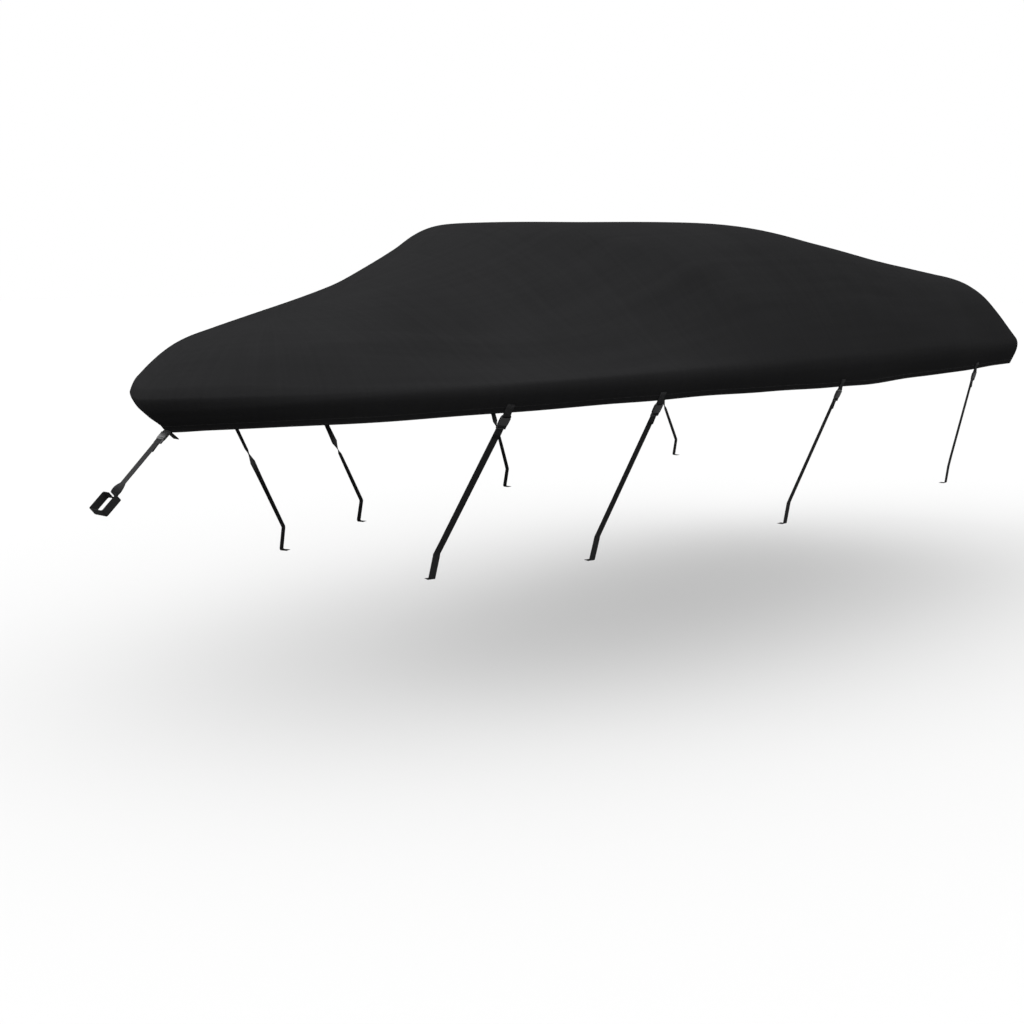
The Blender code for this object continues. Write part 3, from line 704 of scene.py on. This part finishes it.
tab_pieces, strap_pieces, tab_frames = {}, {}, {}
for name, s in ties.items():
    if name == "bow":
        bend, end_points, end_across = bow_end()
    else:
        bend, end_points, end_across = side_end(-1 if name.startswith("port") else 1, *ENDS[name[-1]])
    hem, out = tie_frame(s)
    across = unit(np.cross(out, unit(bend - hem)))
    down = unit(np.cross(across, out))
    tab_frames[name] = (hem, across, down, out)
    tab = webbing("tab_" + name, [hem + down * d + out * o for d, o in TAB_SIDE], [across] * len(TAB_SIDE))
    bar = hem + down * BAR_DOWN + out * BAR_OUT
    pull = unit(bend - bar)
    lift = unit(out - pull * (out @ pull))
    path = [bar + pull * d + lift * o for d, o in LOCK_SIDE]
    sides = [across] * len(path)
    start = path[-1]
    for part in RUN_PARTS:
        path.append(start + (bend - start) * part)
        sides.append(unit(across + (end_across[0] - across) * part))
    strap = webbing("strap_" + name, path + end_points, sides + end_across)
    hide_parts("tab_" + name)
    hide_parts("strap_" + name)
    tab_pieces[name], strap_pieces[name] = tab, strap
    print("strap", name, "length", round(float(lengths_along(np.array(path + end_points))[-1]), 3), "m")

# %% [markdown]
# ## Buckles
# Side-release buckles are moulded in acetal, and every edge of a moulding is rounded. The solids have the
# right bars and prongs with sharp edges, so a copy of each is merged, flat faces are joined again, and a
# Bevel of half a millimetre rounds what is left. Modelling them a second time would add nothing.

# %% Build buckles
MERGE, FLAT_ANGLE = 0.00002, 0.02
EDGE_ROUND, ROUND_STEPS, SHARP_ANGLE = 0.0005, 2, 0.6

buckle_pieces = {}
for name in ties:
    for half in ("socket", "plug"):
        node = f"buckle_{half}_{name}"
        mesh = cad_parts[node].data.copy()
        piece = bpy.data.objects.new("moulded_" + node, mesh)
        bpy.context.scene.collection.objects.link(piece)
        bm = bmesh.new()
        bm.from_mesh(mesh)
        bmesh.ops.remove_doubles(bm, verts=bm.verts, dist=MERGE)
        bmesh.ops.dissolve_limit(bm, angle_limit=FLAT_ANGLE, verts=bm.verts, edges=bm.edges)
        bm.to_mesh(mesh)
        bm.free()
        edge = piece.modifiers.new("rounded edges", "BEVEL")
        edge.width, edge.segments = EDGE_ROUND, ROUND_STEPS
        edge.limit_method, edge.angle_limit = "ANGLE", SHARP_ANGLE
        mesh.polygons.foreach_set("use_smooth", [True] * len(mesh.polygons))
        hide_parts(node)
        buckle_pieces[node] = piece
print("buckle halves:", len(buckle_pieces))

# %% [markdown]
# ## Thread
# A sewn row is the same short stitch over and over along a line. A Geometry Nodes tree walks along the
# line, sets a point at every stitch and lays a small rounded thread on it, turned the way the line runs. So
# one tree with a pitch and a size sews every row, and Realize Instances makes the stitches real before the
# result is kept as a plain mesh. Each stitch has few faces, because there are thousands.

# %% A tree that sews along a line
def stitch_tree():
    """Geometry nodes: one thread on each step of the lines."""
    tree = bpy.data.node_groups.new("sew along lines", "GeometryNodeTree")
    for name, kind in (
        ("Lines", "NodeSocketGeometry"),
        ("Pitch", "NodeSocketFloat"),
        ("Stitch length", "NodeSocketFloat"),
        ("Thread radius", "NodeSocketFloat"),
        ("Thread", "NodeSocketMaterial"),
    ):
        tree.interface.new_socket(name, in_out="INPUT", socket_type=kind)
    tree.interface.new_socket("Sewn", in_out="OUTPUT", socket_type="NodeSocketGeometry")
    add, link = tree.nodes.new, tree.links.new
    given, made = add("NodeGroupInput"), add("NodeGroupOutput")
    to_curve, resample = add("GeometryNodeMeshToCurve"), add("GeometryNodeResampleCurve")
    resample.mode = "LENGTH"
    tangent, align = add("GeometryNodeInputTangent"), add("FunctionNodeAlignRotationToVector")
    align.axis = "Z"
    ball, place = add("GeometryNodeMeshUVSphere"), add("GeometryNodeInstanceOnPoints")
    ball.inputs["Segments"].default_value, ball.inputs["Rings"].default_value = 6, 4
    ball.inputs["Radius"].default_value = 1.0
    halve, size = add("ShaderNodeMath"), add("ShaderNodeCombineXYZ")
    halve.operation = "MULTIPLY"
    halve.inputs[1].default_value = 0.5
    real, smooth = add("GeometryNodeRealizeInstances"), add("GeometryNodeSetShadeSmooth")
    paint = add("GeometryNodeSetMaterial")
    link(given.outputs["Lines"], to_curve.inputs["Mesh"])
    link(to_curve.outputs["Curve"], resample.inputs["Curve"])
    link(given.outputs["Pitch"], resample.inputs["Length"])
    link(resample.outputs["Curve"], place.inputs["Points"])
    link(tangent.outputs["Tangent"], align.inputs["Vector"])
    link(align.outputs["Rotation"], place.inputs["Rotation"])
    link(ball.outputs["Mesh"], place.inputs["Instance"])
    link(given.outputs["Stitch length"], halve.inputs[0])
    link(given.outputs["Thread radius"], size.inputs["X"])
    link(given.outputs["Thread radius"], size.inputs["Y"])
    link(halve.outputs["Value"], size.inputs["Z"])
    link(size.outputs["Vector"], place.inputs["Scale"])
    link(place.outputs["Instances"], real.inputs["Geometry"])
    link(real.outputs["Geometry"], smooth.inputs["Geometry"])
    link(smooth.outputs["Geometry"], paint.inputs["Geometry"])
    link(given.outputs["Thread"], paint.inputs["Material"])
    link(paint.outputs["Geometry"], made.inputs["Sewn"])
    return tree


SEW = stitch_tree()


def sew(name, lines, thread, pitch, length, radius):
    """Thread along polylines, as a plain mesh piece."""
    verts, edges = [], []
    for line in lines:
        first = len(verts)
        verts += [tuple(p - ORIGIN) for p in line]
        edges += [(first + i, first + i + 1) for i in range(len(line) - 1)]
    mesh = bpy.data.meshes.new(name + "_lines")
    mesh.from_pydata(verts, edges, [])
    guide = bpy.data.objects.new(name + "_lines", mesh)
    bpy.context.scene.collection.objects.link(guide)
    nodes = guide.modifiers.new("sew", "NODES")
    nodes.node_group = SEW
    values = {"Pitch": pitch, "Stitch length": length, "Thread radius": radius, "Thread": thread}
    for item in SEW.interface.items_tree:
        if item.name in values:
            nodes[item.identifier] = values[item.name]
    sewn = bpy.data.meshes.new_from_object(guide.evaluated_get(bpy.context.evaluated_depsgraph_get()))
    bpy.data.objects.remove(guide)
    sewn.name = name
    piece = bpy.data.objects.new(name, sewn)
    bpy.context.scene.collection.objects.link(piece)
    print(name, "faces:", len(sewn.polygons))
    return piece


print("nodes in the sewing tree:", len(SEW.nodes))

# %% [markdown]
# ## Helpers for materials
# Every finish here starts as a Principled shader with a colour, a roughness and a shine. Patterns are built
# from a few small parts: the piece's own UVs, which are metres on the cloth, noise stretched along one
# direction, and a plain weave made of two sines. Small relief goes into a Bump node, because threads of a
# millimetre or two are far too many to model.

# %% Material helpers
def node_material(name, color, roughness, specular):
    """A Principled material and its shader."""
    paint = bpy.data.materials.new(name)
    paint.use_nodes = True
    shader = paint.node_tree.nodes["Principled BSDF"]
    shader.inputs["Base Color"].default_value = (*color, 1)
    shader.inputs["Roughness"].default_value = roughness
    shader.inputs["Specular IOR Level"].default_value = specular
    return paint, shader


def math_node(tree, operation, a, b=None):
    """The result of a sum on sockets or numbers."""
    node = tree.nodes.new("ShaderNodeMath")
    node.operation = operation
    for socket, value in zip(node.inputs, (a, b)):
        if isinstance(value, (int, float)):
            socket.default_value = value
        elif value is not None:
            tree.links.new(value, socket)
    return node.outputs["Value"]


def uv_parts(tree, name):
    """The two coordinates of a UV map."""
    uv, split = tree.nodes.new("ShaderNodeUVMap"), tree.nodes.new("ShaderNodeSeparateXYZ")
    uv.uv_map = name
    tree.links.new(uv.outputs["UV"], split.inputs["Vector"])
    return split.outputs["X"], split.outputs["Y"]


def streak_noise(tree, x, y, x_scale, y_scale):
    """Noise drawn out into streaks by a different scale each way."""
    place, noise = tree.nodes.new("ShaderNodeCombineXYZ"), tree.nodes.new("ShaderNodeTexNoise")
    tree.links.new(math_node(tree, "MULTIPLY", x, x_scale), place.inputs["X"])
    tree.links.new(math_node(tree, "MULTIPLY", y, y_scale), place.inputs["Y"])
    noise.inputs["Scale"].default_value, noise.inputs["Detail"].default_value = 1.0, 3.0
    tree.links.new(place.outputs["Vector"], noise.inputs["Vector"])
    return noise.outputs["Fac"]


def object_noise(tree, scale, detail):
    """Noise that stays put on the piece."""
    where, noise = tree.nodes.new("ShaderNodeTexCoord"), tree.nodes.new("ShaderNodeTexNoise")
    noise.inputs["Scale"].default_value, noise.inputs["Detail"].default_value = scale, detail
    tree.links.new(where.outputs["Object"], noise.inputs["Vector"])
    return noise.outputs["Fac"]


def weave(tree, x, y, pitch_x, pitch_y):
    """Plain weave height: warp and weft threads that pass over each other in turn."""
    warp = math_node(tree, "SINE", math_node(tree, "MULTIPLY", x, 2 * math.pi / pitch_x))
    weft = math_node(tree, "SINE", math_node(tree, "MULTIPLY", y, 2 * math.pi / pitch_y))
    return math_node(tree, "MULTIPLY", warp, weft)


def bump(tree, shader, height, strength, distance, before=None):
    """Relief on a shader, on top of any relief before it."""
    node = tree.nodes.new("ShaderNodeBump")
    node.inputs["Strength"].default_value, node.inputs["Distance"].default_value = strength, distance
    tree.links.new(height, node.inputs["Height"])
    if before is not None:
        tree.links.new(before, node.inputs["Normal"])
    tree.links.new(node.outputs["Normal"], shader.inputs["Normal"])
    return node.outputs["Normal"]


def color_ramp(tree, shader, factor, low, high):
    """Base colour between two tones, over the middle part of a noise."""
    ramp = tree.nodes.new("ShaderNodeValToRGB")
    first, last = ramp.color_ramp.elements
    first.position, last.position = 0.3, 0.7
    first.color, last.color = (*low, 1), (*high, 1)
    tree.links.new(factor, ramp.inputs["Fac"])
    tree.links.new(ramp.outputs["Color"], shader.inputs["Base Color"])


print("materials so far:", len(bpy.data.materials))

# %% [markdown]
# ## Coated black polyester
# Coated polyester is close to a perfect matt: it has no shine of its own, so nothing of the room shows in
# it. Yarns differ a little, which leaves faint streaks along warp and weft, and a large cloth is never quite
# one tone. Three noises in nearly equal parts give that. The weave is 0.8 mm from thread to thread, and is
# only seen close by.

# %% Cover cloth
WEAVE_PITCH = 0.0016

cover_paint, shader = node_material("coated_black_polyester", (0.0105, 0.0105, 0.0108), 0.8, 0.0)
tree = cover_paint.node_tree
u, v = uv_parts(tree, "cloth")
across_streaks = streak_noise(tree, u, v, 42.0, 1.3)
along_streaks = streak_noise(tree, u, v, 1.1, 38.0)
clouds = object_noise(tree, 2.2, 4.0)
mixed = math_node(tree, "ADD", math_node(tree, "MULTIPLY", across_streaks, 0.33),
                  math_node(tree, "MULTIPLY", along_streaks, 0.33))
mixed = math_node(tree, "ADD", mixed, math_node(tree, "MULTIPLY", clouds, 0.34))
color_ramp(tree, shader, mixed, (0.0088, 0.0088, 0.0091), (0.0115, 0.0115, 0.0119))
first = bump(tree, shader, weave(tree, u, v, WEAVE_PITCH, WEAVE_PITCH), 0.35, 0.0004)
bump(tree, shader, mixed, 0.25, 0.002, first)
print(cover_paint.name, "nodes:", len(tree.nodes))

# %% [markdown]
# ## Thread and webbing
# Thread is smooth and a little lighter than the cloth, so the rows can just be seen. Webbing is woven much
# coarser, in ribs of two to three millimetres, and its surface is fuzzy, which a very fine noise gives.

# %% Thread and webbing
RIB_WIDE, RIB_LONG = 0.0024, 0.0032

thread_paint, shader = node_material("black_polyester_thread", (0.018, 0.018, 0.019), 0.55, 0.3)
web_paint, shader = node_material("black_webbing", (0.014, 0.014, 0.0145), 0.75, 0.06)
tree = web_paint.node_tree
u, v = uv_parts(tree, "webbing")
ribs = weave(tree, u, v, RIB_WIDE, RIB_LONG)
fuzz = streak_noise(tree, u, v, 900.0, 120.0)
color_ramp(tree, shader, fuzz, (0.009, 0.009, 0.0093), (0.017, 0.017, 0.0175))
bump(tree, shader, ribs, 0.6, 0.0004)
print(web_paint.name, "nodes:", len(tree.nodes))

# %% [markdown]
# ## Acetal
# Moulded acetal is the only piece with a soft shine. Its mould leaves a fine grain, which breaks up the
# highlights, and the rounded edges catch them.

# %% Acetal, and a paint for every piece
buckle_paint, shader = node_material("black_acetal", (0.020, 0.020, 0.021), 0.36, 0.40)
tree = buckle_paint.node_tree
bump(tree, shader, object_noise(tree, 900.0, 3.0), 0.15, 0.0002)

webbing_pieces = [*tab_pieces.values(), *strap_pieces.values()]
for pieces, paint in (
    ([cloth], cover_paint), (webbing_pieces, web_paint), (buckle_pieces.values(), buckle_paint)
):
    for piece in pieces:
        piece.data.materials.clear()
        piece.data.materials.append(paint)
print("materials:", [m.name for m in (cover_paint, thread_paint, web_paint, buckle_paint)])

# %% [markdown]
# ## Sewing the hem
# The hem is turned up once and held by two rows of stitches, which run the whole way round the cover. The
# rows are taken from the cloth's own surface, so they follow every wave of the hem. They lie 0.2 mm off it,
# so that each stitch sits on the cloth instead of in it.

# %% Sew the hem
HEM_ROWS = {"hem_edge": 0.004, "hem_band": 0.0225}
HEM_STITCH = {"pitch": 0.006, "length": 0.0045, "radius": 0.0004}
ROW_POINTS, ABOVE, ROW_GAP, INSIDE_X = 1600, 0.004, 0.0002, 2.6

line_places = np.r_[half_places, WHOLE - half_places[-2::-1]]
fine = np.interp(np.arange(0, 1, 1 / ROW_POINTS), np.linspace(0, 1, len(line_places)), line_places)


def hem_row(up):
    """A closed row of points round the skirt, a little way up from the hem and just off the cloth."""
    row = cloth_surface(fine, up - skirt_depth(fine))
    ahead = np.roll(row, -1, axis=0) - np.roll(row, 1, axis=0)
    outside = unit(np.cross(ahead, cloth_surface(fine, up + ABOVE - skirt_depth(fine)) - row))
    from_middle = row - np.array((INSIDE_X, 0, row[:, 2].mean()))
    outside *= np.sign((outside * from_middle).sum(1, keepdims=True))
    row = row + outside * ROW_GAP
    return np.r_[row, row[:1]]


stitches = {}
for label, up in HEM_ROWS.items():
    stitches[label] = sew("thread_" + label, [hem_row(up)], thread_paint, **HEM_STITCH)

# %% [markdown]
# ## Sewing the tabs
# Each tab is held by a box of stitches with a cross in it, the usual way to sew webbing that has to take a
# pull, since it spreads the load over the whole square. It is the same tree with a shorter stitch.

# %% Sew the tabs
BOX_HALF, BOX_LOW, BOX_HIGH, BOX_GAP = 0.0125, 0.010, 0.034, 0.0001
TAB_STITCH = {"pitch": 0.0032, "length": 0.0026, "radius": 0.00035}


def box_and_cross(hem, across, down, out):
    """The sewing lines on the face of a tab."""
    def on_tab(side, low):
        return hem + across * side - down * low + out * (front + WEB_THICK / 2 + BOX_GAP)

    corners = [on_tab(-BOX_HALF, BOX_LOW), on_tab(BOX_HALF, BOX_LOW),
               on_tab(BOX_HALF, BOX_HIGH), on_tab(-BOX_HALF, BOX_HIGH)]
    return [corners + corners[:1], [corners[0], corners[2]], [corners[1], corners[3]]]


tab_lines = [line for tab_frame in tab_frames.values() for line in box_and_cross(*tab_frame)]
stitches["tabs"] = sew("thread_tabs", tab_lines, thread_paint, **TAB_STITCH)

# %% [markdown]
# ## Floor
# The floor is plain and pale and runs out of sight. It glows a little by itself, so that the shadow under
# the cover stays light, as on a lit studio floor. It is kept out of the light that bounces onto the cover,
# because a white floor would brighten the skirt from below and hide the crease above it.

# %% Floor
FLOOR_HALF = 60

square = np.array([(-1, -1, 0), (1, -1, 0), (1, 1, 0), (-1, 1, 0)]) * FLOOR_HALF
floor = mesh_piece("floor", square + ORIGIN + np.array((0, 0, GROUND)), [(0, 1, 2, 3)])
floor_paint, shader = node_material("pale_floor", (0.24, 0.24, 0.24), 0.9, 0.0)
shader.inputs["Emission Color"].default_value = (0.30, 0.30, 0.30, 1)
shader.inputs["Emission Strength"].default_value = 1.0
floor.data.materials.append(floor_paint)
floor.visible_diffuse = floor.visible_glossy = False
print("floor at height", GROUND)

# %% [markdown]
# ## Light
# Black cloth shows its shape only by small differences. A dome of even light from above gives the flat top
# its full tone, less of it to upright cloth, and little to the skirt that leans under. The camera sees the
# dome as plain white, and only the cover and the floor are lit by its gradient.

# %% World
DOME_FROM, DOME_TO = (0.06, 0.40), (0.34, 2.70)

world = bpy.data.worlds.new("studio")
bpy.context.scene.world = world
world.use_nodes = True
nodes, links = world.node_tree.nodes, world.node_tree.links
direction, parts = nodes.new("ShaderNodeTexCoord"), nodes.new("ShaderNodeSeparateXYZ")
height = nodes.new("ShaderNodeMapRange")
height.inputs["From Min"].default_value, height.inputs["From Max"].default_value = DOME_FROM
height.inputs["To Min"].default_value, height.inputs["To Max"].default_value = DOME_TO
dome, seen = nodes["Background"], nodes.new("ShaderNodeBackground")
rays, choose = nodes.new("ShaderNodeLightPath"), nodes.new("ShaderNodeMixShader")
links.new(direction.outputs["Generated"], parts.inputs["Vector"])
links.new(parts.outputs["Z"], height.inputs["Value"])
links.new(height.outputs["Result"], dome.inputs["Strength"])
dome.inputs["Color"].default_value = seen.inputs["Color"].default_value = (1, 1, 1, 1)
links.new(rays.outputs["Is Camera Ray"], choose.inputs["Fac"])
links.new(dome.outputs["Background"], choose.inputs[1])
links.new(seen.outputs["Background"], choose.inputs[2])
links.new(choose.outputs["Shader"], nodes["World Output"].inputs["Surface"])
print("dome strength, low and high:", DOME_TO)

# %% [markdown]
# ## A lamp by the bow
# One weak, wide lamp from ahead of the bow makes the slopes that face it a little lighter than those that
# face the stern, and brings out the folds. The Standard view keeps black cloth black and the backdrop white.

# %% Lamp and view
LAMP_ENERGY, LAMP_WIDTH, LAMP_WAY = 2.7, math.radians(50), Vector((0.78, -0.37, -0.50))

lamp_data = bpy.data.lights.new("bow_lamp", "SUN")
lamp_data.energy, lamp_data.angle = LAMP_ENERGY, LAMP_WIDTH
lamp = bpy.data.objects.new("bow_lamp", lamp_data)
lamp.rotation_euler = LAMP_WAY.to_track_quat("-Z", "Y").to_euler()
bpy.context.scene.collection.objects.link(lamp)
bpy.context.scene.view_settings.view_transform = "Standard"
print("lamp energy:", LAMP_ENERGY)

# %% [markdown]
# ## One body
# Everything rides on the one body, and the plain solid of the cloth is hidden.

sewn_on = [*webbing_pieces, *buckle_pieces.values(), *stitches.values()]
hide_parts("cover_cloth")
for piece in (cloth, *sewn_on):
    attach(piece, "root")
